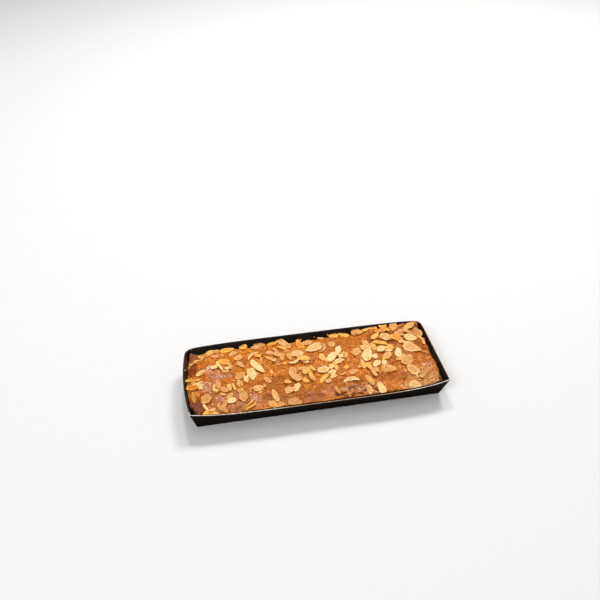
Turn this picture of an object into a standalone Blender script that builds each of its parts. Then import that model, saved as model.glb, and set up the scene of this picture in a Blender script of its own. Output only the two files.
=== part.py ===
"""Filled speculaas bar with baked-on almond flakes, in its thin card baking tray.

Metres, +Z up. The long side lies along X and the front is at -Y. The origin is below the middle of
the whole, on the surface that the tray stands on.
"""

import math
import random

import bmesh
import bpy
import numpy as np
from mathutils import Matrix, Vector
from mathutils.bvhtree import BVHTree

# Tray: one sheet of board, folded up on four sides
BASE_LENGTH = 0.2817
BASE_WIDTH = 0.0949
WALL_HEIGHT = 0.0265
END_FLARE = 0.0061
RIGHT_FLARE = 0.0083
SIDE_FLARE = 0.0059
BOARD = 0.0008
FRONT_BOW = 0.0062
FRONT_DROP = 0.0022
LEFT_BOW = 0.0047
BACK_BOW = 0.0020
BACK_RISE = 0.0016
BACK_CORNER_PULL = 0.0026
TRAY_CELLS = (30, 14)
WALL_STEPS = 4

# Bar: how far it keeps from the board, and the heights of its crust
FLOOR_GAP = 0.0003
FRONT_GAP = 0.0005
BACK_GAP = (0.0026, 0.0005)
LEFT_GAP = (0.0006, 0.0030)
RIGHT_GAP = (0.0060, 0.0022)
CROWN = 0.0268
FRONT_EDGE = 0.0243
BACK_EDGE = (0.0213, 0.0262)
END_EDGE = 0.0238
SHOULDER_REACH = 0.0060
FRONT_FALL = 0.0020
BACK_FALL = 0.0042
END_FALL = 0.0040
CORNER_PULL = 0.0034
# Places where the crust's edge stays full, as x, y, reach along x, reach along y, lift, pull there
FULL_CORNERS = (
    (0.1430, 0.0530, 0.0200, 0.0150, 0.0048, 0.0027),
    (-0.1395, 0.0505, 0.0080, 0.0065, 0.0016, 0.0008),
    (-0.1460, -0.0100, 0.0100, 0.0190, 0.0006, 0.0034),
)
FULL_SHARE = 0.85
BAR_CELLS = (52, 20)
SIDE_STEPS = 3
FOOT_INSET = 0.0015

# Relief of the baked crust
SEED = 7
SWELLS = ((0.0300, 0.00034), (0.0190, 0.00026), (0.0125, 0.00020))
SWELLS_OF_EACH = 3
# Dents as x, y, reach along x, reach along y, depth
DENTS = (
    (-0.1440, -0.0470, 0.0105, 0.0120, 0.0075),
    (-0.1330, 0.0440, 0.0150, 0.0080, 0.0026),
    (-0.1160, -0.0040, 0.0130, 0.0100, 0.0008),
    (0.0250, -0.0480, 0.0060, 0.0030, 0.0016),
    (0.0460, -0.0450, 0.0140, 0.0060, 0.0010),
    (0.0660, -0.0500, 0.0060, 0.0030, 0.0012),
    (0.1300, 0.0470, 0.0140, 0.0070, 0.0012),
)

# Broken lumps of crumb at the bar's corners: the rim of the top of each in mm, as x, y, height
CORNER_LUMP = (
    (-144.2, -29.0, 22.0), (-143.2, -35.0, 22.0), (-140.2, -37.9, 22.5), (-138.7, -41.9, 22.7),
    (-137.0, -45.1, 23.0), (-134.5, -49.6, 23.0), (-129.5, -45.7, 24.0), (-127.7, -42.7, 25.0),
    (-130.1, -38.3, 25.3), (-131.7, -33.5, 25.8), (-133.7, -30.3, 26.0), (-136.2, -34.0, 24.5),
    (-140.2, -31.4, 23.5),
)
END_LUMP = (
    (140.0, -47.0, 24.0), (143.5, -48.2, 23.0), (144.8, -44.0, 23.5), (144.5, -40.5, 25.0),
    (141.8, -41.5, 25.5), (140.2, -44.0, 25.0),
)
LUMP_FOOT = 0.0160
LUMP_TAPER = 0.85

# Almond flakes
FLAKE_THICKNESS = 0.0009
FLAKE_ROOT = 0.0007
FLAKE_CURL = 0.0007
CURL_MEAN = 0.35
MOST_LEAN = 0.35
BACK_LEAN = 0.05
STRIP_SQUARENESS = 0.55
CHIP_SKEW = 0.20
CHIP_REACH = (0.95, 1.20)
FLAKE_SINK = 0.55
FLAKE_CLEAR = 0.0013
PROBE_RINGS = (0.0, 0.5, 0.9)
PROBE_TURNS = 8
MAP_CELL = 0.0010

# Kinds of flake: number of corners, how much one end narrows, and how far the ends bend aside
KINDS = {
    "oval": (8, 0.18, 0.0),
    "drop": (9, 0.50, 0.0),
    "chip": (5, 0.0, 0.0),
    "strip": (6, 0.0, 0.0),
    "hook": (10, 0.0, 0.20),
}
# Each flake as its kind, x, y, length and width in mm, and the turn of its long axis in degrees.
# A flake lies on those before it.
FLAKES = (
    ("chip", -116, 48, 12, 7, 35), ("chip", -110, 38, 10, 6, -20), ("oval", -93, 50, 11, 6, -20),
    ("oval", -95, 48, 18, 8, -5), ("chip", -88, 39, 11, 8, 10), ("chip", -75, 51, 11, 9, -40),
    ("oval", -55, 51, 15, 8, -25), ("chip", -61, 45, 10, 6, 5), ("chip", -126, 42, 10, 5, -35),
    ("oval", -83, 28, 11, 9, 20), ("oval", -82, 16, 13, 6, -60), ("hook", -58, 21, 20, 3, 90),
    ("hook", -66, 31, 17, 4, -145), ("oval", -78, -9, 11, 6, -90), ("oval", -84, -2, 13, 10, 45),
    ("chip", -71, 0, 18, 11, -85), ("oval", -63, 9, 27, 8, -60), ("chip", -112, 18, 11, 6, 20),
    ("chip", -108, 22, 10, 4, -85), ("chip", -105, 15, 11, 3, -70), ("chip", -94, 16, 10, 4, -75),
    ("strip", -100, 25, 13, 8, -20), ("oval", -129, 10, 12, 6, 25), ("chip", -138, -2, 10, 5, -80),
    ("chip", -143, 2, 11, 4, -25), ("chip", -133, -9, 13, 8, -50), ("oval", -139, -11, 15, 8, -15),
    ("chip", -139, -25, 13, 4, -85), ("chip", -125, -30, 13, 11, 70), ("oval", -110, -12, 12, 6, -90),
    ("strip", -115, -15, 10, 3, -100), ("oval", -104, -20, 10, 6, -35), ("chip", -98, -18, 10, 5, -85),
    ("strip", -93, -18, 11, 3, -75), ("chip", -87, -14, 11, 4, -90), ("chip", -98, -38, 11, 8, 0),
    ("strip", -106, -42, 14, 5, 65), ("strip", -108, -49, 11, 4, -35), ("oval", -84, -34, 16, 10, -90),
    ("oval", -78, -48, 15, 5, 30), ("strip", -79, -46, 14, 2, 30), ("strip", -77, -50, 13, 2, 30),
    ("oval", -66, -25, 12, 9, 15), ("strip", -127, -41, 11, 3, -65), ("chip", -122, -50, 17, 7, -10),
    ("oval", -39, 51, 14, 6, 10), ("oval", -26, 48, 23, 8, -55), ("strip", -23, 40, 10, 5, -30),
    ("strip", -29, 38, 13, 4, -40), ("chip", -6, 51, 10, 5, 40), ("chip", 3, 42, 13, 9, -5),
    ("oval", -7, 39, 16, 8, 110), ("hook", 20, 27, 16, 4, 70), ("oval", 9, 30, 21, 13, -160),
    ("oval", 31, 31, 11, 9, -85), ("chip", 38, 51, 13, 9, 10), ("chip", 51, 51, 14, 8, -15),
    ("oval", -32, 21, 14, 6, -95), ("chip", -37, 25, 11, 7, -40), ("oval", -37, 35, 11, 5, -65),
    ("strip", -46, 19, 17, 4, -45), ("chip", -23, 19, 10, 6, -80), ("chip", -6, 7, 10, 5, -50),
    ("oval", -7, 12, 17, 10, -25), ("oval", -13, 23, 16, 9, -5), ("hook", -19, 9, 14, 4, 10),
    ("oval", -24, -9, 19, 9, -95), ("chip", -20, -18, 11, 9, -20), ("chip", -13, -3, 10, 5, 20),
    ("chip", 0, -5, 12, 4, -60), ("chip", -8, -7, 12, 9, 45), ("strip", -4, -16, 15, 5, -85),
    ("hook", -11, -22, 10, 6, -60), ("oval", -54, -14, 12, 6, -60), ("chip", -23, -31, 13, 7, 55),
    ("chip", -32, -34, 12, 9, 30), ("chip", -50, -50, 18, 9, -15), ("oval", -49, -39, 19, 7, 100),
    ("chip", -29, -51, 15, 9, 0), ("chip", 15, 11, 11, 7, -85), ("oval", 42, 11, 11, 8, 70),
    ("chip", 26, 9, 18, 10, 55), ("chip", 36, 18, 19, 7, 70), ("chip", 33, 1, 11, 8, 10),
    ("chip", 27, -7, 15, 5, -80), ("chip", 12, -10, 14, 9, -15), ("chip", 21, -16, 10, 7, 15),
    ("strip", 10, -23, 16, 5, 45), ("chip", 21, -43, 10, 5, -60), ("oval", 66, 51, 13, 11, 40),
    ("strip", 70, 48, 13, 6, 25), ("strip", 88, 54, 13, 5, -10), ("chip", 102, 54, 10, 8, 0),
    ("strip", 102, 48, 17, 4, -55), ("oval", 114, 50, 19, 10, -105), ("chip", 133, 46, 18, 9, 30),
    ("strip", 123, 39, 12, 4, -15), ("oval", 117, 35, 13, 7, -35), ("strip", 131, 34, 12, 5, -35),
    ("oval", 141, 34, 14, 12, -110), ("strip", 142, 26, 11, 5, -35), ("strip", 143, 18, 13, 4, -100),
    ("oval", 112, 28, 17, 10, -40), ("strip", 117, 20, 10, 5, -10), ("oval", 129, 26, 16, 11, -25),
    ("chip", 99, 32, 15, 12, -30), ("oval", 87, 37, 16, 7, 40), ("strip", 96, 45, 15, 6, 0),
    ("oval", 79, 18, 13, 9, -85), ("oval", 72, 25, 11, 7, -70), ("strip", 89, 23, 18, 6, -20),
    ("chip", 87, 12, 11, 9, -10), ("oval", 92, 0, 15, 9, 45), ("chip", 96, 8, 10, 5, 0),
    ("strip", 98, 12, 11, 6, -5), ("oval", 58, 14, 15, 9, 55), ("strip", 52, 9, 10, 2, -65),
    ("chip", 70, 16, 15, 10, -60), ("chip", 60, -9, 14, 7, -85), ("oval", 68, 4, 21, 12, 65),
    ("chip", 76, -11, 14, 8, 45), ("chip", 66, -12, 10, 7, -100), ("strip", 68, -23, 17, 5, -80),
    ("oval", 87, -22, 19, 11, -10), ("hook", 108, -6, 15, 5, 35), ("chip", 106, 2, 14, 9, -105),
    ("oval", 113, -12, 20, 12, 45), ("drop", 125, 8, 23, 15, -40), ("drop", 114, -28, 18, 12, 115),
    ("oval", 110, -51, 14, 12, -15), ("hook", 40, -31, 19, 5, 175), ("oval", 61, -36, 15, 7, -65),
    ("chip", 57, -49, 13, 6, -95), ("chip", 71, -48, 18, 9, -80), ("oval", 45, -19, 10, 8, 10),
)

MILLIMETRE = 0.001
# Every place is measured from the middle of a tray with equal ends, and the origin from the real one
ORIGIN_X = (RIGHT_FLARE - END_FLARE) / 2
SHIFT_X = LEFT_BOW / 2
SHIFT_Y = (FRONT_BOW - BACK_BOW) / 2


def clear_scene():
    for obj in list(bpy.data.objects):
        bpy.data.objects.remove(obj, do_unlink=True)


def make_material(name, colour, roughness):
    material = bpy.data.materials.new(name)
    material.use_nodes = True
    shader = material.node_tree.nodes["Principled BSDF"]
    shader.inputs["Base Color"].default_value = (*colour, 1.0)
    shader.inputs["Roughness"].default_value = roughness
    return material


def eased(value):
    """Spreads -1..1 so that the steps are short near both ends."""
    return 1.09 * value - 0.09 * value**9


def front_bow(a):
    """How much of the front wall's bow shows at a: flat in the middle, none at the corners."""
    return (1 - abs(a) ** 5) * (1 + 0.15 * a)


def back_bow(a):
    return 1 - abs(a) ** 5


def left_bow(b):
    return 1 - b * b


def lerp(start, end, share):
    return start + (end - start) * share


def plan(a, b, h, gaps=(0.0, 0.0, 0.0, 0.0)):
    """The point a along and b across (both -1 to 1) inside the tray's outline, at h of its height.

    The gaps are kept to the left, right, front and back walls.
    """
    left = -(BASE_LENGTH / 2 + END_FLARE * h + LEFT_BOW * left_bow(b) * h * h) + gaps[0]
    right = BASE_LENGTH / 2 + RIGHT_FLARE * h - gaps[1]
    front = -(BASE_WIDTH / 2 + SIDE_FLARE * h + FRONT_BOW * front_bow(a) * h * h) + gaps[2]
    back = BASE_WIDTH / 2 + SIDE_FLARE * h + BACK_BOW * back_bow(a) * h * h - gaps[3]
    return (
        SHIFT_X + lerp(left, right, (a + 1) / 2),
        SHIFT_Y + lerp(front, back, (b + 1) / 2),
    )


def pulled(x, y, a, b, amount):
    """Rounds the corners of an outline by pulling them in."""
    pull = amount * abs(a) ** 40 * abs(b) ** 14
    return x - math.copysign(pull, a), y - math.copysign(pull, b)


def swells():
    """Waves of random direction and phase, as (wave x, wave y, phase, height)."""
    draw = random.Random(SEED)
    waves = []
    for length, height in SWELLS:
        for _ in range(SWELLS_OF_EACH):
            turn = draw.uniform(0, math.pi)
            phase = draw.uniform(0, 2 * math.pi)
            pace = 2 * math.pi / length
            waves.append((pace * math.cos(turn), pace * math.sin(turn), phase, height))
    return waves


WAVES = swells()


def relief(x, y):
    height = sum(size * math.sin(kx * x + ky * y + phase) for kx, ky, phase, size in WAVES)
    for dent_x, dent_y, reach_x, reach_y, depth in DENTS:
        distance = ((x - dent_x) / reach_x) ** 2 + ((y - dent_y) / reach_y) ** 2
        height -= depth * math.exp(-distance)
    return height


def shoulder(distance, fall):
    """The rounded fall of the crust towards an edge that is this far away."""
    share = 1 - min(distance / SHOULDER_REACH, 1.0)
    return fall * (1 - math.sqrt(1 - share * share))


def smooth(low, high, value):
    """Rises from 0 at low to 1 at high, level at both."""
    share = min(max((value - low) / (high - low), 0.0), 1.0)
    return share * share * (3 - 2 * share)


def bar_gaps(a, b):
    """The bar's gaps to the left, right, front and back walls."""
    left = lerp(LEFT_GAP[0], LEFT_GAP[1], max(b, 0.0) ** 2)
    bulge = smooth(-1.0, -0.6, b) * (1 - smooth(0.15, 0.65, b))
    right = lerp(RIGHT_GAP[0], RIGHT_GAP[1], bulge)
    back = lerp(BACK_GAP[0], BACK_GAP[1], smooth(0.2, 0.9, a))
    return BOARD + left, BOARD + right, BOARD + FRONT_GAP, BOARD + back


def fullness(x, y):
    """How near a point is to a full edge of the crust, its lift there and the pull of the outline."""
    full, lift, pull = 0.0, 0.0, CORNER_PULL
    for corner_x, corner_y, reach_x, reach_y, height, own_pull in FULL_CORNERS:
        near = math.exp(-(((x - corner_x) / reach_x) ** 2) - ((y - corner_y) / reach_y) ** 2)
        full += near
        lift += height * near
        pull += (own_pull - CORNER_PULL) * near
    return full, lift, pull


def crust_height(a, b, x, y):
    """Height of the crust at a along and b across, whose plan position is x, y."""
    back_edge = lerp(BACK_EDGE[0], BACK_EDGE[1], smooth(0.2, 0.8, a))
    side_edge = lerp(FRONT_EDGE, back_edge, (b + 1) / 2)
    crown = lerp(side_edge, max(CROWN, side_edge), 1 - abs(b) ** 2.6)
    height = lerp(END_EDGE, crown, 1 - abs(a) ** 12)
    to_side = (1 - abs(b)) * BASE_WIDTH / 2
    to_end = (1 - abs(a)) * BASE_LENGTH / 2
    side_fall = shoulder(to_side, FRONT_FALL if b < 0 else BACK_FALL)
    fall = max(side_fall, shoulder(to_end, END_FALL))
    full, lift, _ = fullness(x, y)
    return height + relief(x, y) + lift - fall * (1 - FULL_SHARE * full)


def bar_point(a, b, level):
    """Point of the bar's skin: level 0 is the crust, and SIDE_STEPS its underside."""
    gaps = bar_gaps(a, b)
    top_x, top_y = plan(a, b, 1.0, gaps)
    top = crust_height(a, b, top_x, top_y)
    height = lerp(BOARD + FLOOR_GAP, top, 1 - level / SIDE_STEPS)
    inset = FOOT_INSET if level == SIDE_STEPS else 0.0
    gaps = tuple(gap + inset for gap in gaps)
    x, y = plan(a, b, height / WALL_HEIGHT, gaps)
    x, y = pulled(x, y, a, b, fullness(top_x, top_y)[2])
    return Vector((x, y, height))


def grid_mesh(cells):
    """A flat grid from -1 to 1 both ways, with short cells near its edges."""
    mesh = bmesh.new()
    bmesh.ops.create_grid(mesh, x_segments=cells[0], y_segments=cells[1], size=1.0)
    for vertex in mesh.verts:
        vertex.co.x = eased(vertex.co.x)
        vertex.co.y = eased(vertex.co.y)
    return mesh


def extrude_border(mesh, drop, steps):
    """Pulls the border of an open mesh down by drop, the given number of times."""
    for _ in range(steps):
        border = [edge for edge in mesh.edges if edge.is_boundary]
        pulled_out = bmesh.ops.extrude_edge_only(mesh, edges=border)
        new = [item for item in pulled_out["geom"] if isinstance(item, bmesh.types.BMVert)]
        bmesh.ops.translate(mesh, verts=new, vec=(0, 0, -drop))


def to_object(mesh, name, collection, material):
    data = bpy.data.meshes.new(name)
    mesh.to_mesh(data)
    mesh.free()
    data.materials.append(material)
    obj = bpy.data.objects.new(name, data)
    collection.objects.link(obj)
    return obj


def build_tray(collection, material):
    mesh = grid_mesh(TRAY_CELLS)
    extrude_border(mesh, -1.0, WALL_STEPS)
    for vertex in mesh.verts:
        a, b, level = vertex.co
        h = level / WALL_STEPS
        x, y = plan(a, b, h)
        if b > 0:
            x, y = pulled(x, y, a, b, BACK_CORNER_PULL * h)
        drop = FRONT_DROP * front_bow(a) * h if b == -1 else 0.0
        rise = BACK_RISE * back_bow(a) * h if b == 1 else 0.0
        vertex.co = (x, y, WALL_HEIGHT * h - drop + rise)
    bmesh.ops.recalc_face_normals(mesh, faces=list(mesh.faces))
    floor = max(mesh.faces, key=lambda face: face.calc_area())
    if floor.normal.z > 0:
        bmesh.ops.reverse_faces(mesh, faces=list(mesh.faces))
    tray = to_object(mesh, "baking_tray", collection, material)
    board = tray.modifiers.new("board", "SOLIDIFY")
    board.thickness = BOARD
    board.offset = -1.0
    board.use_even_offset = True
    return tray


def build_bar(collection, material):
    mesh = grid_mesh(BAR_CELLS)
    extrude_border(mesh, 1.0, SIDE_STEPS)
    rim = [edge for edge in mesh.edges if edge.is_boundary]
    bmesh.ops.contextual_create(mesh, geom=rim)
    for vertex in mesh.verts:
        a, b, level = vertex.co
        vertex.co = bar_point(a, b, -level)
    bmesh.ops.recalc_face_normals(mesh, faces=list(mesh.faces))
    if mesh.calc_volume(signed=True) < 0:
        bmesh.ops.reverse_faces(mesh, faces=list(mesh.faces))
    bmesh.ops.triangulate(mesh, faces=list(mesh.faces))
    return to_object(mesh, "speculaas_bar", collection, material)


class Ground:
    """The height of what the flakes fall on: the bar's skin, raised by each flake in turn."""

    def __init__(self, bar):
        skin = BVHTree.FromObject(bar, bpy.context.evaluated_depsgraph_get())
        corners = [Vector(corner) for corner in bar.bound_box]
        self.low = corners[0]
        size = corners[6] - corners[0]
        self.columns = int(size.x / MAP_CELL) + 1
        self.rows = int(size.y / MAP_CELL) + 1
        self.heights = np.zeros((self.columns + 1, self.rows + 1))
        for i in range(self.columns + 1):
            for j in range(self.rows + 1):
                above = Vector((self.low.x + i * MAP_CELL, self.low.y + j * MAP_CELL, 1.0))
                place = skin.ray_cast(above, Vector((0, 0, -1)))[0]
                self.heights[i, j] = place.z if place else 0.0

    def at(self, x, y):
        i = (x - self.low.x) / MAP_CELL
        j = (y - self.low.y) / MAP_CELL
        if not (0 <= i < self.columns and 0 <= j < self.rows):
            return 0.0
        column, row = int(i), int(j)
        near = lerp(self.heights[column, row], self.heights[column + 1, row], i - column)
        far = lerp(self.heights[column, row + 1], self.heights[column + 1, row + 1], i - column)
        return lerp(near, far, j - row)

    def raise_under(self, flake):
        reach = int(flake.length / MAP_CELL) + 1
        middle_i = int((flake.x - self.low.x) / MAP_CELL)
        middle_j = int((flake.y - self.low.y) / MAP_CELL)
        for i in range(max(middle_i - reach, 0), min(middle_i + reach, self.columns)):
            for j in range(max(middle_j - reach, 0), min(middle_j + reach, self.rows)):
                x = self.low.x + i * MAP_CELL
                y = self.low.y + j * MAP_CELL
                p, q = flake.inside(x, y)
                if p * p + q * q < 1:
                    top = flake.under(x, y, p) + FLAKE_THICKNESS
                    self.heights[i, j] = max(self.heights[i, j], top)


class Flake:
    """A thin slice of almond that has come to rest on the ground below it."""

    def __init__(self, row, ground):
        self.kind, x, y, length, width, turn = row
        self.corners, self.taper, self.bend = KINDS[self.kind]
        self.x = x * MILLIMETRE
        self.y = y * MILLIMETRE
        self.length = length * MILLIMETRE
        self.width = width * MILLIMETRE
        self.turn = math.radians(turn)
        self.settle(ground)

    def outline(self):
        """Corners of the flake along and across it, each about -1 to 1."""
        draw = random.Random(f"{self.x:.3f} {self.y:.3f}")
        outline = []
        for corner in range(self.corners):
            step = 2 * math.pi / self.corners
            angle, reach = corner * step, 1.0
            if self.kind == "chip":
                angle += CHIP_SKEW * step * draw.uniform(-1, 1)
                reach = draw.uniform(*CHIP_REACH)
            p, q = reach * math.cos(angle), reach * math.sin(angle)
            if self.kind == "strip":
                p = math.cos(angle + step / 2)
                q = math.sin(angle + step / 2)
                p = math.copysign(abs(p) ** STRIP_SQUARENESS, p)
                q = math.copysign(abs(q) ** STRIP_SQUARENESS, q)
            outline.append((p, q))
        return outline

    def outward(self, p, q):
        """Plan position of a point given along and across the flake, each -1 to 1."""
        along = p * self.length / 2
        aside = self.bend * self.length * (p * p - CURL_MEAN)
        across = q * self.width / 2 * (1 - self.taper * p) + aside
        cos, sin = math.cos(self.turn), math.sin(self.turn)
        return self.x + along * cos - across * sin, self.y + along * sin + across * cos

    def inside(self, x, y):
        """The reverse of outward."""
        cos, sin = math.cos(self.turn), math.sin(self.turn)
        east, north = x - self.x, y - self.y
        p = (east * cos + north * sin) / (self.length / 2)
        aside = self.bend * self.length * (p * p - CURL_MEAN)
        half = self.width / 2 * max(1 - self.taper * p, 1 - self.taper)
        return p, (north * cos - east * sin - aside) / half

    def settle(self, ground):
        """Leans the flake as the ground under it does, resting on what stands highest."""
        places = []
        for ring in PROBE_RINGS:
            for step in range(PROBE_TURNS):
                angle = 2 * math.pi * step / PROBE_TURNS
                x, y = self.outward(ring * math.cos(angle), ring * math.sin(angle))
                height = ground.at(x, y)
                if height > WALL_HEIGHT / 2:
                    places.append((x - self.x, y - self.y, height))
        probes = np.array(places)
        basis = np.column_stack([np.ones(len(probes)), probes[:, :2]])
        fitted = np.linalg.lstsq(basis, probes[:, 2], rcond=None)[0]
        self.lean = np.clip(fitted[1:], (-MOST_LEAN, -BACK_LEAN), MOST_LEAN)
        levels = probes[:, 2] - probes[:, :2] @ self.lean
        self.level = lerp(levels.max(), levels.mean(), FLAKE_SINK)

    def under(self, x, y, p):
        """Height of the flake's underside."""
        rise = self.lean @ (x - self.x, y - self.y)
        return self.level + rise + FLAKE_CURL * (p * p - CURL_MEAN)


def kept_off_board(x, y, height):
    """Moves a point that lies past the bar's front or end back inside the tray's walls."""
    h = min(height / WALL_HEIGHT, 1.0)
    a = min(max((x - SHIFT_X) / (BASE_LENGTH / 2), -1.0), 1.0)
    b = min(max((y - SHIFT_Y) / (BASE_WIDTH / 2), -1.0), 1.0)
    gaps = (FLAKE_CLEAR,) * 4
    left, front = plan(-1, b, h, gaps)[0], plan(a, -1, h, gaps)[1]
    right, back = plan(1, b, h, gaps)[0], plan(a, 1, h, gaps)[1]
    return min(max(x, left), right), min(max(y, front), back)


def build_flake(number, flake, ground, collection, material):
    mesh = bmesh.new()
    bmesh.ops.create_cone(
        mesh,
        cap_ends=True,
        cap_tris=True,
        segments=flake.corners,
        radius1=1.0,
        radius2=1.0,
        depth=2.0,
        matrix=Matrix.Rotation(-math.pi / 2, 4, "Z"),
    )
    outline = flake.outline()
    for vertex in mesh.verts:
        p, q, side = vertex.co
        if p or q:
            share = math.atan2(q, p) / (2 * math.pi)
            p, q = outline[round(share * flake.corners) % flake.corners]
        x, y = flake.outward(p, q)
        low = flake.under(x, y, p)
        support = ground.at(x, y)
        rooted = min(low, support - FLAKE_ROOT) if support > WALL_HEIGHT / 2 else low
        height = low + FLAKE_THICKNESS if side > 0 else rooted
        x, y = kept_off_board(x, y, rooted)
        vertex.co = (x, y, height)
    return to_object(mesh, f"flake_{number:03d}", collection, material)


def build_lump(name, rim, collection, material):
    """A broken bit of crumb: a block below the given rim, narrower at its foot."""
    mesh = bmesh.new()
    corners = [Vector(corner) * MILLIMETRE for corner in rim]
    middle = sum(corners, Vector()) / len(corners)
    top, foot = [], []
    for corner in corners:
        below = middle.lerp(corner, LUMP_TAPER)
        top.append(mesh.verts.new((*kept_off_board(*corner), corner.z)))
        foot.append(mesh.verts.new((*kept_off_board(below.x, below.y, LUMP_FOOT), LUMP_FOOT)))
    mesh.faces.new(top)
    mesh.faces.new(reversed(foot))
    for number in range(len(corners)):
        mesh.faces.new((top[number - 1], foot[number - 1], foot[number], top[number]))
    bmesh.ops.recalc_face_normals(mesh, faces=list(mesh.faces))
    bmesh.ops.triangulate(mesh, faces=list(mesh.faces))
    return to_object(mesh, name, collection, material)


def fuse(obj, pieces):
    """Joins every object of a collection to obj by one union, and removes them."""
    union = obj.modifiers.new("fuse", "BOOLEAN")
    union.operation = "UNION"
    union.operand_type = "COLLECTION"
    union.collection = pieces
    union.solver = "MANIFOLD"
    graph = bpy.context.evaluated_depsgraph_get()
    joined = bpy.data.meshes.new_from_object(obj.evaluated_get(graph))
    obj.modifiers.clear()
    obj.data = joined
    keep_largest(joined)
    for piece in list(pieces.objects):
        bpy.data.objects.remove(piece, do_unlink=True)
    bpy.data.collections.remove(pieces)


def keep_largest(mesh):
    """Drops what the union left loose: scraps, and the skins of tiny hollows, which fills them."""
    shape = bmesh.new()
    shape.from_mesh(mesh)
    left = set(shape.verts)
    groups = []
    while left:
        group = {left.pop()}
        edge_of_group = list(group)
        while edge_of_group:
            vertex = edge_of_group.pop()
            near = {edge.other_vert(vertex) for edge in vertex.link_edges} - group
            group |= near
            edge_of_group.extend(near)
        left -= group
        groups.append(group)
    groups.sort(key=len)
    for group in groups[:-1]:
        bmesh.ops.delete(shape, geom=list(group), context="VERTS")
    shape.to_mesh(mesh)
    shape.free()


def main():
    clear_scene()
    parts = bpy.data.collections.new("filled_speculaas_bar")
    loose = bpy.data.collections.new("flakes_to_fuse")
    bpy.context.scene.collection.children.link(parts)
    bpy.context.scene.collection.children.link(loose)
    crust = make_material("baked_crust", (0.42, 0.16, 0.05), 0.45)
    board = make_material("black_board", (0.012, 0.010, 0.009), 0.5)

    build_tray(parts, board)
    bar = build_bar(parts, crust)
    build_lump("corner_lump", CORNER_LUMP, loose, crust)
    build_lump("end_lump", END_LUMP, loose, crust)
    bpy.context.view_layer.update()
    ground = Ground(bar)
    for number, row in enumerate(FLAKES):
        flake = Flake(row, ground)
        build_flake(number, flake, ground, loose, crust)
        ground.raise_under(flake)
    fuse(bar, loose)
    for node in parts.objects:
        node.data.transform(Matrix.Translation((-ORIGIN_X, 0, 0)))


main()
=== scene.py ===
"""Looks of the filled speculaas bar: crust, almond flakes, crumbs and its black card tray."""

import math
import random

import bmesh
import bpy
import numpy as np
from mathutils import Matrix, Vector


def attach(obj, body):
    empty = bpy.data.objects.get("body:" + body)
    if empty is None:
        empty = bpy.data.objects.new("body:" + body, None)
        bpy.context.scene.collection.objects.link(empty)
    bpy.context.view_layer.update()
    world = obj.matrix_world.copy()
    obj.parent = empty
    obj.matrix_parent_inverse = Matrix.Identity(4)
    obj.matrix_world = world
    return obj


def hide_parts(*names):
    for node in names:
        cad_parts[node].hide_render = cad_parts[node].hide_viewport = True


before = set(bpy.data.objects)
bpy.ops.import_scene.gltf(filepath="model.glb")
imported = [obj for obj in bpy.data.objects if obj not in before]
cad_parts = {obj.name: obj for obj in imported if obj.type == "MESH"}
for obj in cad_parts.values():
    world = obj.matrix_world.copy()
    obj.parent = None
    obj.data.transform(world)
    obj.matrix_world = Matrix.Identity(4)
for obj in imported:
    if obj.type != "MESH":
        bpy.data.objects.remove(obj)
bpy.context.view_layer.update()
MM = 0.001
FULL_TURN = 2 * math.pi


def in_metres(lengths, *rows):
    """Rows in metres, from rows whose first so many values are lengths in mm."""
    return [tuple(value / 1000 for value in row[:lengths]) + row[lengths:] for row in rows]


# Tray, as in the CAD
BASE_LENGTH = 0.2817
BASE_WIDTH = 0.0949
WALL_HEIGHT = 0.0265
END_FLARE = 0.0061
RIGHT_FLARE = 0.0083
SIDE_FLARE = 0.0059
BOARD = 0.0008
FRONT_BOW = 0.0062
FRONT_BOW_TILT = 0.15
FRONT_DROP = 0.0022
LEFT_BOW = 0.0047
BACK_BOW = 0.002
BACK_RISE = 0.0016
BOW_POWER = 5
BACK_CORNER_PULL = 0.0026
# Places are measured from the middle of a tray with equal ends, and the real tray's middle, which is
# the origin, lies this far to the right of it
ORIGIN_X = (RIGHT_FLARE - END_FLARE) / 2
SHIFT_X = LEFT_BOW / 2
SHIFT_Y = (FRONT_BOW - BACK_BOW) / 2
TRAY_CELLS = (120, 48)
WALL_STEPS = 10
RIM_ROW = 0.999
GRID_EASE = 0.09
GRID_POWER = 9

# Bar, as in the CAD. A pair goes from its first value to its second along the side.
FLOOR_GAP = 0.0003
FRONT_GAP = 0.0005
BACK_GAP = (0.0026, 0.0005)
BACK_GAP_ALONG = (0.2, 0.9)
LEFT_GAP = (0.0006, 0.003)
RIGHT_GAP = (0.006, 0.0022)
BULGE_START = (-1.0, -0.6)
BULGE_END = (0.15, 0.65)
CROWN = 0.0268
CROWN_POWER = 2.6
FRONT_EDGE = 0.0243
BACK_EDGE = (0.0213, 0.0262)
BACK_EDGE_ALONG = (0.2, 0.8)
END_EDGE = 0.0238
END_POWER = 12
SHOULDER_REACH = 0.006
FRONT_FALL = 0.002
BACK_FALL = 0.0042
END_FALL = 0.004
CORNER_PULL = 0.0034
PULL_POWERS = (40, 14)
# Fuller corners in mm, as (x, y, reach along x, reach along y, lift, the outline's own pull)
FULL_CORNERS = in_metres(
    6, (143, 53, 20, 15, 4.8, 2.7), (-139.5, 50.5, 8, 6.5, 1.6, 0.8), (-146, -10, 10, 19, 0.6, 3.4)
)
FULL_SHARE = 0.85
BAR_CELLS = (360, 140)
SIDE_STEPS = 12
FOOT_INSET = 0.0015
SEED = 7
# Low waves, as (length, height)
SWELLS = ((0.03, 0.00034), (0.019, 0.00026), (0.0125, 0.0002))
SWELLS_OF_EACH = 3
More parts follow.
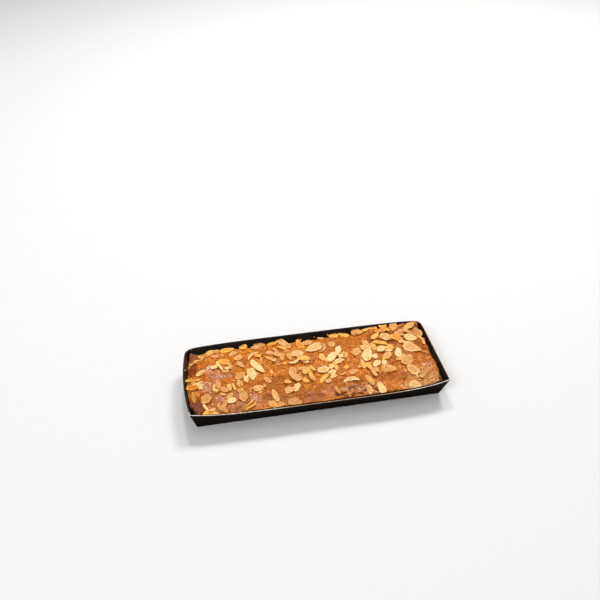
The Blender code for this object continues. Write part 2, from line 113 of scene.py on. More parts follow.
# Dents in mm, as (x, y, reach along x, reach along y, depth)
DENTS = in_metres(
    5, (-144, -47, 10.5, 12, 7.5), (-133, 44, 15, 8, 2.6), (-116, -4, 13, 10, 0.8),
    (25, -48, 6, 3, 1.6), (46, -45, 14, 6, 1), (66, -50, 6, 3, 1.2), (130, 47, 14, 7, 1.2),
)

# Fine relief of the crust, as (wavelength, height)
PEBBLES = ((0.0085, 0.00032), (0.0044, 0.0003), (0.0026, 0.0002))
WRINKLE_SIZE = 0.0072
WRINKLE_HEIGHT = 0.0008
CRUMB_GRAINS = ((0.0036, 0.00045), (0.0022, 0.0003), (0.0014, 0.00016))
BARE_DEPTH = 0.0005
PALE_CRUMB = 0.45
TORN_SIZE = 0.0085
TORN_HEIGHT = 0.0021
TORN_DEPTH = 0.0008
TORN_GAIN = 2.2
TORN_POWER = 0.7
EDGE_RELIEF = 0.6
EDGE_RELIEF_REACH = 0.004
SIDE_PORES = (0.003, 0.0003)
# The glaze stands this much higher where it meets the front wall
FRONT_LIP = 0.0007
FRONT_LIP_REACH = 0.003
FRONT_LIP_POWER = 30

# Patches of the crust in mm, as (x, y, reach along x, reach along y, strength). The sheen patches get
# a painted sheen, a dull, greyish film colour, as well as a glossy coat, and dark is glaze painted
# darker.
PATCHES = {
    "bare": (
        (-135, 45.5, 12.5, 11.5, 1), (-142.5, 35, 2.4, 16, 0.8), (-144.5, -20, 2.6, 11, 0.8),
        (-142, -44, 11, 12, 1), (133, 48, 13, 7, 1),
    ),
    "pale": ((129, -40, 15, 16, 1), (115, -35, 12, 9, 0.9), (108, -50, 16, 7, 1)),
    "torn": ((44, -46.5, 24, 8.5, 1), (22, -50, 9, 5, 1), (66, -51, 8, 4, 1)),
    "painted_sheen": (
        (-122, -12, 12, 11, 1), (-106, 2, 14, 6, 0.9), (-123, 18, 10, 6, 1),
        (-115, 6, 11, 10, 0.6), (-95, -39, 35, 15, 0.7), (-50, -42, 20, 8, 0.45),
        (3, -45, 22, 8, 0.5), (133, -22, 9, 6, 0.7), (50, -42.5, 24, 6, 0.9), (-40, 29, 28, 12, 0.3),
    ),
    "dark": (
        (-136.2, 19.5, 7.5, 15, 1), (-56, 28, 13, 6, 0.35), (-43, -22, 40, 12, 0.45),
        (-35, -40, 35, 9, 0.45), (-100, -35, 33, 15, 0.34), (106, 33, 34, 16, 0.75),
        (100, 0, 30, 18, 0.32), (35, 35, 35, 14, 0.15), (25, -33, 30, 10, 0.4),
        (-12, -48, 20, 7, 0.45), (-93.3, 2.5, 7, 5, 0.4), (90, -33, 26, 8, 0.4),
        (135, 5, 9, 18, 0.45), (42.5, -50, 7, 3.5, 1), (-76, 23, 8, 4, 0.5), (-124, -24, 10, 3, 0.6),
    ),
    "wrinkled": (
        (-118, 4, 23, 23, 1.3), (-124, -18, 15, 12, 1.3), (-98, -43, 28, 11, 0.8),
        (-50, -43, 25, 8, 0.5), (10, -46, 20, 7, 0.5), (132, -20, 11, 8, 0.8),
    ),
}
PATCH_EDGE = (0.75, 1.1)
RAGGED_BY = 0.0035
RAGGED_SIZE = 0.012
# Painted shade in the deep hole at the front left corner, darkening the crust's colour over the dent
# there
SHADED_HOLE = (-0.1425, -0.046)
SHADED_HOLE_REACH = 0.0085
SHADED_HOLE_CORE = 0.4
# Painted shade, darkening the colour in cracks, clefts, pin holes and the glaze's low places: the
# depths that are fully dark, and the share of each
PIT_SHADE_DEPTH = 0.0008
LOW_SHADE_DEPTH = 0.0006
LOW_SHADE_SHARE = 0.25
CLEFT_SHADE_SHARE = 0.8
CLEFT_SHADE_EDGE = (0.1, 0.42)
BARE_SIDE = (-0.5, -3.0)
# Cracks in mm, as (x, y, length, width, depth, turn in degrees)
CRACKS = in_metres(
    5, (24, -48.7, 15, 1.5, 3, 12), (39, -41.5, 12, 1, 1.8, 8), (53, -47.5, 7, 1.1, 2, -20),
    (66, -50, 6, 1.1, 1.8, 15), (2, -45, 16, 0.7, 0.8, -6), (102, -38, 12, 0.6, 0.8, 50),
)
CRACK_SWAY = 0.0012
CRACK_SWAY_SIZE = 0.006
# Pin holes in mm, as (x, y, radius)
PIN_HOLES = in_metres(3, (4, 9, 1), (-2, 2, 0.8), (-48, -9, 0.9))
# Chunks of loose crumb: the rim of the top of each in mm, as in the CAD
LUMPS = (
    (
        (-144.2, -29, 22), (-143.2, -35, 22), (-140.2, -37.9, 22.5), (-138.7, -41.9, 22.7),
        (-137, -45.1, 23), (-134.5, -49.6, 23), (-129.5, -45.7, 24), (-127.7, -42.7, 25),
        (-130.1, -38.3, 25.3), (-131.7, -33.5, 25.8), (-133.7, -30.3, 26), (-136.2, -34, 24.5),
        (-140.2, -31.4, 23.5),
    ),
    (
        (140, -47, 24), (143.5, -48.2, 23), (144.8, -44, 23.5), (144.5, -40.5, 25),
        (141.8, -41.5, 25.5), (140.2, -44, 25),
    ),
)
LUMP_FOOT = 0.016
LUMP_TAPER = 0.85
LUMP_CUTS = 4
LUMP_ROUNDING = 3
LUMP_GRAINS = ((0.006, 0.0005), (0.003, 0.0003), (0.0016, 0.0002))
# Lip where the glaze has lifted off the crumb: points along it, in mm
LIP = in_metres(
    2, (-141.8, 23.5), (-140.6, 26.8), (-137.5, 29.7), (-134.3, 32.7), (-130.3, 34.5),
    (-126.7, 36.1), (-122.8, 38.9), (-118, 42.5), (-112, 45.5),
)
LIP_STEPS = 70
LIP_SIDES = 10
LIP_RADIUS = 0.00115
LIP_STRETCH = 1.3
LIP_RISE = 0.6
LIP_TIP = 0.12
# Noise of the lip's line and of its radius, as (wavelength, amount)
LIP_SWAY = (0.006, 0.0006)
LIP_SWELL = (0.004, 0.35)
# Crumbs on the tray's rim and walls in mm, as (x, y, height, size, bake in tenths)
CRUMBS = in_metres(
    4, (-137.8, 55, 26.2, 2.2, 6), (-146, 20.7, 25.5, 2, 6), (13.7, 52.4, 23.2, 1.8, 6),
    (30.8, 52.6, 24, 2.2, 6),
)
CRUMB_SQUASH = (1.0, 0.8, 0.7)
CRUMB_SWELL = (1.1, 0.35)
CRUMB_APART = 900

# Camera, solved for the photograph: 654 pixels of focal length in a 600 pixel frame
CAMERA = (-0.11354, -0.54026, 0.56333)
CAMERA_AIM = (0.01522, 0.15735, 0.0)
CAMERA_ROLL = math.radians(-0.084)
FOCAL_PIXELS = 654
FRAME_PIXELS = 600
SENSOR = 36.0
# Round lights as (name, place, size, power, colour), in a plain pale room
WARM = (1.0, 0.98, 0.95)
WHITE = (1.0, 1.0, 1.0)
LIGHTS = (
    ("key", (1.05, 1.45, 1.9), 0.8, 37.0, WARM),
    ("side", (-1.35, -1.1, 1.9), 1.0, 22.0, WARM),
    ("glint", (0.1, 1.3, 1.75), 0.34, 14.0, WHITE),
    ("top", (-0.1, 0.1, 3.2), 2.4, 17.0, WHITE),
    ("fill", (-0.9, -2.0, 2.2), 2.0, 8.0, WHITE),
)
SKY_STRENGTH = 0.26
FLOOR_SIZE = 6.0
FLOOR_GREY = 0.73
FLOOR_ROUGHNESS = 0.9

# Kinds of flake: name, how much one end narrows, and how far the ends bend aside
KINDS = {
    "o": ("oval", 0.18, 0.0),
    "d": ("drop", 0.5, 0.0),
    "c": ("chip", 0.0, 0.0),
    "s": ("strip", 0.0, 0.0),
    "h": ("hook", 0.0, 0.2),
}
# Each flake as its kind, x, y, length and width in mm, the turn of its long axis in degrees, and its
# bake in tenths, from pale to toasted. A flake lies on those before it.
FLAKES = """
c -116 48 12 7 35 5, c -108 48 9 6 10 4, c -110 38 10 6 -20 3, c -102 39 5 4 -40 4,
o -93 50 11 6 -20 5, o -95 48 18 8 -5 7, c -88 39 11 8 10 3, c -75 51 11 9 -40 5,
o -55 51 15 8 -25 4, c -61 45 10 6 5 4, c -126 42 10 5 -35 6, s -133 36 5 3 5 6,
o -83 28 11 9 20 3, o -82 16 13 6 -60 2, h -58 21 20 3 90 3, h -66 31 17 4 -145 2,
s -60 28 8 5 -30 6, o -78 -9 11 6 -90 2, o -84 -2 13 10 45 3, c -71 0 18 11 -85 2,
o -63 9 27 8 -60 0, c -112 18 11 6 20 0, c -108 22 10 4 -85 1, c -105 15 11 3 -70 1,
c -100 9 8 5 0 3, c -98 12 6 4 15 0, c -94 16 10 4 -75 3, s -100 25 13 8 -20 6,
o -129 10 12 6 25 2, s -133 1 6 3 25 4, c -130 -3 6 4 40 3, c -138 -2 10 5 -80 4,
c -143 2 11 4 -25 6, c -133 -9 13 8 -50 1, o -139 -11 15 8 -15 9, c -139 -25 13 4 -85 4,
c -134 -22 9 5 -75 9, c -125 -30 13 11 70 3, o -110 -12 12 6 -90 3, s -115 -15 10 3 -100 5,
c -114 -21 6 4 -30 0, o -104 -20 10 6 -35 3, c -98 -18 10 5 -85 2, s -93 -18 11 3 -75 6,
c -87 -14 11 4 -90 3, s -84 -15 9 2 -85 6, c -86 -23 8 5 15 4, o -106 -26 8 4 -20 4,
c -99 -30 9 6 50 3, c -98 -38 11 8 0 0, s -106 -42 14 5 65 4, h -112 -43 9 3 -100 4,
s -108 -49 11 4 -35 3, o -84 -34 16 10 -90 4, o -78 -48 15 5 30 9, s -79 -46 14 2 30 6,
s -77 -50 13 2 30 6, o -66 -25 12 9 15 3, c -59 -23 4 3 15 4, c -65 -31 5 3 25 4,
c -75 -25 4 3 -5 3, s -127 -41 11 3 -65 2, c -122 -50 17 7 -10 6, s -120 -47 8 4 20 3,
o -39 51 14 6 10 7, o -26 48 23 8 -55 3, s -23 40 10 5 -30 2, s -29 38 13 4 -40 5,
c -6 51 10 5 40 4, c 3 42 13 9 -5 3, o -7 39 16 8 110 7, h 20 27 16 4 70 3, o 9 30 21 13 -160 1,
o 31 31 11 9 -85 4, s 21 50 8 3 -15 3, c 38 51 13 9 10 6, c 51 51 14 8 -15 5, o -45 31 9 6 -10 3,
o -32 21 14 6 -95 4, c -37 25 11 7 -40 3, o -37 35 11 5 -65 3, s -46 19 17 4 -45 4,
c -42 15 6 4 40 1, c -38 10 5 4 0 4, c -30 10 5 4 10 6, c -23 19 10 6 -80 5, c -6 7 10 5 -50 1,
o -7 12 17 10 -25 4, o -13 23 16 9 -5 2, h -19 9 14 4 10 0, o -24 -9 19 9 -95 3,
c -20 -18 11 9 -20 2, c -13 -3 10 5 20 5, c 0 -5 12 4 -60 5, c -8 -7 12 9 45 5,
s -4 -16 15 5 -85 5, h -11 -22 10 6 -60 5, c -2 -23 6 5 -85 5, c -32 -21 9 6 -10 6,
c -48 -2 7 4 -85 6, o -54 -14 12 6 -60 3, c -23 -31 13 7 55 1, c -32 -34 12 9 30 2,
c -50 -50 18 9 -15 4, o -49 -39 19 7 100 3, c -29 -51 15 9 0 4, c 15 11 11 7 -85 2,
c 18 7 9 5 -75 6, o 42 11 11 8 70 3, c 26 9 18 10 55 1, c 36 18 19 7 70 0, c 37 8 6 5 45 0,
c 33 1 11 8 10 2, c 27 -7 15 5 -80 6, c 22 -7 8 6 -100 0, c 12 -10 14 9 -15 2, c 21 -16 10 7 15 1,
c 40 -10 9 5 15 6, c 21 -22 8 5 0 1, s 10 -23 16 5 45 6, c 14 -28 8 6 30 2, h 33 -20 9 3 5 5,
c 21 -43 10 5 -60 4, o 66 51 13 11 40 4, s 70 48 13 6 25 4, c 78 51 8 6 10 4, s 88 54 13 5 -10 7,
c 102 54 10 8 0 7, s 102 48 17 4 -55 6, o 114 50 19 10 -105 4, c 133 46 18 9 30 4,
s 123 39 12 4 -15 4, o 117 35 13 7 -35 4, s 131 34 12 5 -35 4, o 141 34 14 12 -110 4,
s 142 26 11 5 -35 6, s 143 18 13 4 -100 6, o 112 28 17 10 -40 7, s 117 20 10 5 -10 2,
o 129 26 16 11 -25 2, c 99 32 15 12 -30 3, o 87 37 16 7 40 5, s 96 45 15 6 0 8, o 79 18 13 9 -85 4,
o 72 25 11 7 -70 3, s 89 23 18 6 -20 6, c 100 16 7 5 -5 3, c 87 12 11 9 -10 1, o 92 0 15 9 45 3,
c 96 8 10 5 0 1, s 98 12 11 6 -5 6, o 58 14 15 9 55 3, s 52 9 10 2 -65 5, c 70 16 15 10 -60 3,
c 77 1 9 8 55 1, c 60 -9 14 7 -85 5, o 68 4 21 12 65 1, c 76 -11 14 8 45 1, c 85 -11 9 6 -105 0,
c 73 -21 8 5 -75 5, c 66 -12 10 7 -100 7, s 68 -23 17 5 -80 2, o 87 -22 19 11 -10 4,
h 108 -6 15 5 35 3, c 106 2 14 9 -105 0, o 113 -12 20 12 45 3, d 125 8 23 15 -40 2,
s 139 0 7 3 -20 4, d 114 -28 18 12 115 3, c 116 -39 6 2 -105 0, c 121 -40 5 4 -10 4,
o 110 -51 14 12 -15 2, h 40 -31 19 5 175 1, o 61 -36 15 7 -65 4, c 57 -49 13 6 -95 2,
c 71 -48 18 9 -80 2, o 45 -19 10 8 10 3, c 55 -12 6 5 10 4, c 86 -5 6 4 15 5
"""
FLAKE_THICKNESS = 0.001
THICKNESS_SPREAD = (0.8, 1.15)
TONE_SPREAD = 0.08
FLAKE_CUP = (0.06, 0.11)
CUP_SPREAD = (-0.4, 1.0)
FLAKE_TWIST = 0.03
FLAKE_TIP = 0.09
CURL_MEAN = 0.35
MOST_LEAN = 0.35
BACK_LEAN = 0.05
FLAKE_SINK = 0.15
FLAKE_CLEAR = 0.0013
STRIP_SQUARENESS = 0.55
CHIP_CORNERS = 5
CHIP_SKEW = 0.2
CHIP_REACH = (1.02, 1.3)
CHIP_ROUNDING = 0.45
# Waves along a flake's rim, as (count, depth). They are this much deeper where it isn't an oval.
RIM_WAVES = ((3, 0.03), (5, 0.022), (9, 0.02))
RAGGED_RIM = 1.9
RIM_THINNING = 0.25
RIM_STEPS = (0.62, 0.3)
FLAKE_SEGMENTS = 30
FLAKE_RINGS = (0.0, 0.3, 0.55, 0.76, 0.9, 0.975)
PROBE_RINGS = (0.0, 0.5, 0.9)
PROBE_TURNS = 8
MAP_CELL = 0.0005
# Bake, from 0 for the palest to 1, and its colour
ALMOND_TONES = (
    (0.02, (247, 211, 156)), (0.12, (244, 198, 130)), (0.28, (213, 152, 90)), (0.42, (199, 134, 72)),
    (0.52, (238, 178, 81)), (0.62, (246, 180, 64)), (0.76, (222, 136, 38)), (0.92, (198, 106, 22)),
)
CREASE = 50
# Small bits: lengths in mm, widths as shares of that, bakes in tenths, distances from a flake
BIT_COUNT = 60
BIT_LENGTHS = (1.4, 3.6)
BIT_WIDTHS = (0.4, 0.8)
BIT_BAKES = (2, 7)
BIT_AWAY = (0.4, 1.3)
BIT_SQUEEZE = 0.8


def lerp(start, end, share):
    return start + (end - start) * share


def smooth(low, high, value):
    share = np.clip((value - low) / (high - low), 0, 1)
    return share * share * (3 - 2 * share)


def between(table, i0, i1, j0, j1, a, b):
    """The value of a table between its cells."""
    near, far = (lerp(table[i0, j], table[i1, j], a) for j in (j0, j1))
    return lerp(near, far, b)


class Noise:
    """Smooth random heights over the plane, from -1 to 1, the same on every run."""

    SIZE = 257
    OFFSET = 1000.0

    def __init__(self, seed):
        self.table = np.random.default_rng(seed).uniform(-1, 1, (self.SIZE, self.SIZE))

    def at(self, x, y, wavelength):
        u = np.asarray(x) / wavelength * 2 + self.OFFSET
        v = np.asarray(y) / wavelength * 2 + self.OFFSET
        i, j = np.floor(u).astype(int), np.floor(v).astype(int)
        a, b = smooth(0, 1, u - i), smooth(0, 1, v - j)
        i0, i1 = i % self.SIZE, (i + 1) % self.SIZE
        j0, j1 = j % self.SIZE, (j + 1) % self.SIZE
        return between(self.table, i0, i1, j0, j1, a, b)


def octaves(noises, x, y, layers):
    """Sum of layers of noise, each (wavelength, height)."""
    return sum(noise.at(x, y, size) * height for noise, (size, height) in zip(noises, layers))


NOISES = [Noise(SEED + number) for number in range(8)]


def eased(value):
    """Moves the rows of a grid closer together towards its rim."""
    return (1 + GRID_EASE) * value - GRID_EASE * value**GRID_POWER


def bow(a):
    """How far out a long wall is at a place along it: 0 at its ends, and 1 in its middle."""
    return 1 - np.abs(a) ** BOW_POWER


def front_bow(a):
    return bow(a) * (1 + FRONT_BOW_TILT * a)


def plan(a, b, h, gaps=(0.0, 0.0, 0.0, 0.0)):
    """The point a along and b across (both -1 to 1) inside the tray's outline, at h of its height."""
    left = -(BASE_LENGTH / 2 + END_FLARE * h + LEFT_BOW * (1 - b * b) * h * h) + gaps[0]
    right = BASE_LENGTH / 2 + RIGHT_FLARE * h - gaps[1]
    front = -(BASE_WIDTH / 2 + SIDE_FLARE * h + FRONT_BOW * front_bow(a) * h * h) + gaps[2]
    back = BASE_WIDTH / 2 + SIDE_FLARE * h + BACK_BOW * bow(a) * h * h - gaps[3]
    return SHIFT_X + lerp(left, right, (a + 1) / 2), SHIFT_Y + lerp(front, back, (b + 1) / 2)


def pulled(x, y, a, b, amount):
    """Rounds the corners of an outline by pulling them in."""
    pull = amount * np.abs(a) ** PULL_POWERS[0] * np.abs(b) ** PULL_POWERS[1]
    return x - np.sign(a) * pull, y - np.sign(b) * pull


def swells():
    draw = random.Random(SEED)
    waves = []
    for length, height in SWELLS:
        for _ in range(SWELLS_OF_EACH):
            turn, phase = draw.uniform(0, math.pi), draw.uniform(0, FULL_TURN)
            pace = FULL_TURN / length
            waves.append((pace * math.cos(turn), pace * math.sin(turn), phase, height))
    return waves


WAVES = swells()


def near(x, y, middle_x, middle_y, reach_x, reach_y):
    """How near a point is to a place: 1 in its middle, and 0 far past its reach."""
    return np.exp(-(((x - middle_x) / reach_x) ** 2) - ((y - middle_y) / reach_y) ** 2)


def relief(x, y):
    """Low waves and dents of the crust, as in the CAD."""
    height = sum(size * np.sin(kx * x + ky * y + phase) for kx, ky, phase, size in WAVES)
    for *place, depth in DENTS:
        height = height - depth * near(x, y, *place)
    return height


def shoulder(distance, fall):
    share = 1 - np.clip(distance / SHOULDER_REACH, 0, 1)
    return fall * (1 - np.sqrt(1 - share * share))


def patch(x, y, name):
    """How far a point is inside any patch of this name, up to its strength, with a ragged edge."""
    ragged_x = x + RAGGED_BY * NOISES[5].at(x, y, RAGGED_SIZE)
    ragged_y = y + RAGGED_BY * NOISES[6].at(x, y, RAGGED_SIZE)
    inside = np.zeros_like(x)
    for middle_x, middle_y, reach_x, reach_y, strength in in_metres(4, *PATCHES[name]):
        distance = np.hypot((ragged_x - middle_x) / reach_x, (ragged_y - middle_y) / reach_y)
        inside = np.maximum(inside, strength * (1 - smooth(*PATCH_EDGE, distance)))
    return inside


def crack_depth(x, y):
    """Depth of the cracks and pin holes."""
    depth = np.zeros_like(x)
    for middle_x, middle_y, length, width, deep, turn in CRACKS:
        cos, sin = math.cos(math.radians(turn)), math.sin(math.radians(turn))
        along = (x - middle_x) * cos + (y - middle_y) * sin
        across = (y - middle_y) * cos - (x - middle_x) * sin
        across = across + CRACK_SWAY * NOISES[4].at(along, across, CRACK_SWAY_SIZE)
        taper = np.clip(1 - (2 * along / length) ** 2, 0, 1)
        depth = np.maximum(depth, deep * taper * np.exp(-((across / width) ** 2)))
    for middle_x, middle_y, radius in PIN_HOLES:
        depth = np.maximum(depth, 2 * radius * near(x, y, middle_x, middle_y, radius, radius))
    return depth


def torn_lumps(x, y):
    """Rounded lumps where the crust has torn open, 0 in the clefts between them."""
    return np.minimum(np.abs(NOISES[6].at(x, y, TORN_SIZE)) * TORN_GAIN, 1.0) ** TORN_POWER


def fine_relief(x, y):
    """What the baked crust adds to its broad form: pebbled glaze, wrinkles, bare crumb and cracks."""
    glaze = octaves(NOISES, x, y, PEBBLES)
    folds = 1 - np.abs(NOISES[3].at(x + 0.4 * y, y - 0.2 * x, WRINKLE_SIZE)) * 2
    folds = folds - 0.5 * np.abs(NOISES[7].at(x, y, WRINKLE_SIZE / 2))
    glaze = glaze + WRINKLE_HEIGHT * folds * patch(x, y, "wrinkled")
    crumb = octaves(NOISES[2:], x, y, CRUMB_GRAINS)
    bare, torn = patch(x, y, "bare"), patch(x, y, "torn")
    crumbly = np.maximum(bare, PALE_CRUMB * patch(x, y, "pale"))
    height = lerp(glaze, crumb, crumbly) - BARE_DEPTH * bare
    height = height + torn * (TORN_HEIGHT * torn_lumps(x, y) - TORN_DEPTH)
    return height - crack_depth(x, y)


def bar_gaps(a, b):
    """How far the bar stays inside the tray's outline at the left, right, front and back."""
    left = lerp(*LEFT_GAP, np.clip(b, 0, 1) ** 2)
    right = lerp(*RIGHT_GAP, smooth(*BULGE_START, b) * (1 - smooth(*BULGE_END, b)))
    back = lerp(*BACK_GAP, smooth(*BACK_GAP_ALONG, a))
    return BOARD + left, BOARD + right, BOARD + FRONT_GAP, BOARD + back


def fullness(x, y):
    """How near a point is to a full corner, its lift there, and the outline's pull."""
    full, lift, pull = 0.0, 0.0, CORNER_PULL
    for *place, height, own_pull in FULL_CORNERS:
        share = near(x, y, *place)
        full = full + share
        lift = lift + height * share
        pull = pull + (own_pull - CORNER_PULL) * share
    return full, lift, pull


def crust_height(a, b, x, y):
    back_edge = lerp(*BACK_EDGE, smooth(*BACK_EDGE_ALONG, a))
    side_edge = lerp(FRONT_EDGE, back_edge, (b + 1) / 2)
    crown = lerp(side_edge, np.maximum(CROWN, side_edge), 1 - np.abs(b) ** CROWN_POWER)
    height = lerp(END_EDGE, crown, 1 - np.abs(a) ** END_POWER)
    to_side = (1 - np.abs(b)) * BASE_WIDTH / 2
    to_end = (1 - np.abs(a)) * BASE_LENGTH / 2
    side_fall = shoulder(to_side, np.where(b < 0, FRONT_FALL, BACK_FALL))
    fall = np.maximum(side_fall, shoulder(to_end, END_FALL))
    full, lift, _ = fullness(x, y)
    inward = smooth(0.0, EDGE_RELIEF_REACH, np.minimum(to_side, to_end))
    fine = fine_relief(x, y) * lerp(EDGE_RELIEF, 1.0, inward)
    lip = FRONT_LIP * (b < 0) * (1 - smooth(0.0, FRONT_LIP_REACH, to_side))
    lip = lip * (1 - np.abs(a) ** FRONT_LIP_POWER)
    return height + relief(x, y) + fine + lip + lift - fall * (1 - FULL_SHARE * full)


def bar_points(a, b, level):
    """Points of the bar's skin: level 0 is the crust, and SIDE_STEPS its underside."""
    gaps = bar_gaps(a, b)
    top_x, top_y = plan(a, b, 1.0, gaps)
    top = crust_height(a, b, top_x, top_y)
    height = lerp(BOARD + FLOOR_GAP, top, 1 - level / SIDE_STEPS)
    inset = np.where(level == SIDE_STEPS, FOOT_INSET, 0.0)
    pores = SIDE_PORES[1] * (1 + NOISES[2].at(top_x + top_y, height, SIDE_PORES[0]))
    pores = np.where(level > 0, pores, 0.0)
    gaps = tuple(gap + inset + pores for gap in gaps)
    x, y = plan(a, b, height / WALL_HEIGHT, gaps)
    x, y = pulled(x, y, a, b, fullness(top_x, top_y)[2])
    return np.column_stack([x, y, height])


def grid_mesh(cells):
    """A flat grid from -1 to 1 both ways, with its rows closer together towards the rim."""
    mesh = bmesh.new()
    bmesh.ops.create_grid(mesh, x_segments=cells[0], y_segments=cells[1], size=1.0)
    for vertex in mesh.verts:
        vertex.co.x = eased(vertex.co.x)
        vertex.co.y = eased(vertex.co.y)
    return mesh


def border(mesh):
    return [edge for edge in mesh.edges if edge.is_boundary]


def extrude_border(mesh, drop, steps):
    for _ in range(steps):
        extruded = bmesh.ops.extrude_edge_only(mesh, edges=border(mesh))
        new = [item for item in extruded["geom"] if isinstance(item, bmesh.types.BMVert)]
        bmesh.ops.translate(mesh, verts=new, vec=(0, 0, -drop))


def face_outwards(mesh):
    bmesh.ops.recalc_face_normals(mesh, faces=list(mesh.faces))


def to_data(mesh, name):
    data = bpy.data.meshes.new(name)
    mesh.to_mesh(data)
    mesh.free()
    return data


def from_points(name, points, faces):
    data = bpy.data.meshes.new(name)
    data.from_pydata(points.tolist(), [], faces)
    data.update()
    return data


def joined(name, parts):
    """One mesh of several parts, each given as its points and its faces."""
    every, count = [], 0
    for points, faces in parts:
        every += [tuple(index + count for index in face) for face in faces]
        count += len(points)
    return from_points(name, np.concatenate([points for points, _ in parts]), every)


def coordinates(data):
    flat = np.empty(len(data.vertices) * 3, np.float64)
    data.vertices.foreach_get("co", flat)
    return flat.reshape(-1, 3)


def set_points(data, points):
    data.vertices.foreach_set("co", points.ravel())


def add_values(data, **fields):
    """Stores numbers for each vertex under these names, for the material to read."""
    for name, values in fields.items():
        attribute = data.attributes.new(name, "FLOAT", "POINT")
        attribute.data.foreach_set("value", np.asarray(values, np.float32))


def put(name, data):
    """A new object in the scene."""
    item = bpy.data.objects.new(name, data)
    bpy.context.scene.collection.objects.link(item)
    return item


def add_piece(name, data, materials, replaced, crease=None):
    """Puts a mesh into the scene as a piece that rides on the object's one body."""
    for material in materials:
        data.materials.append(material)
    data.shade_smooth()
    if crease:
        data.set_sharp_from_angle(angle=math.radians(crease))
    piece = put(name, data)
    piece.location.x = -ORIGIN_X
    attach(piece, "root")
    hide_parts(replaced)


def rgb(*colour):
    """A colour given in sRGB, 0 to 255, as the linear colour that a shader takes."""
    shares = [value / 255 for value in colour]
    return [s / 12.92 if s <= 0.04045 else ((s + 0.055) / 1.055) ** 2.4 for s in shares] + [1.0]


class Nodes:
    """A material's node tree, with short calls for the nodes used here. Colours are in sRGB."""

    def __init__(self, name):
        self.material = bpy.data.materials.new(name)
        self.material.use_nodes = True
        self.tree = self.material.node_tree
        self.shader = self.tree.nodes["Principled BSDF"]
        self.place = self.add("TexCoord", "Object", {})

    def link(self, source, target):
        """Joins a socket to the target, or sets the target to a colour or a number."""
        if isinstance(source, bpy.types.NodeSocket):
            self.tree.links.new(source, target)
        else:
            target.default_value = rgb(*source) if isinstance(source, tuple) else source

    def add(self, kind, output, inputs, **settings):
        """Adds a node with these settings and inputs, and returns its output."""
        node = self.tree.nodes.new("ShaderNode" + kind)
        for name, value in settings.items():
            setattr(node, name, value)
        for name, source in inputs.items():
            self.link(source, node.inputs[name])
        return node.outputs[output]

    def value(self, name):
        return self.add("Attribute", "Fac", {}, attribute_name=name)

    def noise(self, size, detail=4.0, rough=0.55):
        """Noise from 0 to 1 with features about this size, in metres."""
        inputs = {"Vector": self.place, "Scale": 1 / size, "Detail": detail, "Roughness": rough}
        return self.add("TexNoise", "Fac", inputs)

    def math(self, operation, first, second=0.0, clamp=False):
        return self.add("Math", 0, {0: first, 1: second}, operation=operation, use_clamp=clamp)

    def times(self, first, second):
        return self.math("MULTIPLY", first, second)

    def away(self, value, middle):
        """How far a value is from the middle, either way."""
        return self.math("ABSOLUTE", self.math("SUBTRACT", value, middle))

    def along(self, axis):
        """The place's own X, Y or Z."""
        return self.add("SeparateXYZ", axis, {0: self.place})

    def span(self, value, low, high, to_low=0.0, to_high=1.0):
        """The value brought smoothly from one range to another."""
        inputs = {"Value": value, "From Min": low, "From Max": high}
        inputs |= {"To Min": to_low, "To Max": to_high}
        return self.add("MapRange", "Result", inputs, interpolation_type="SMOOTHSTEP")

    def mix(self, share, first, second):
        return self.add("Mix", 2, {0: share, 6: first, 7: second}, data_type="RGBA")

    def tint(self, value, low, high, first, second, most=1.0):
        """From the first colour towards the second as the value goes from low to high."""
        return self.mix(self.span(value, low, high, 0.0, most), first, second)

    def bump(self, height, distance, normal=None):
        inputs = {"Strength": 1.0, "Distance": distance, "Height": height}
        if normal is not None:
            inputs["Normal"] = normal
        return self.add("Bump", "Normal", inputs)

    def finish(self, colour, rough, level, normal):
        """Sets the shader's own sockets."""
        names = ("Base Color", "Roughness", "Specular IOR Level", "Normal")
        for name, source in zip(names, (colour, rough, level, normal)):
            self.link(source, self.shader.inputs[name])
        return self.material


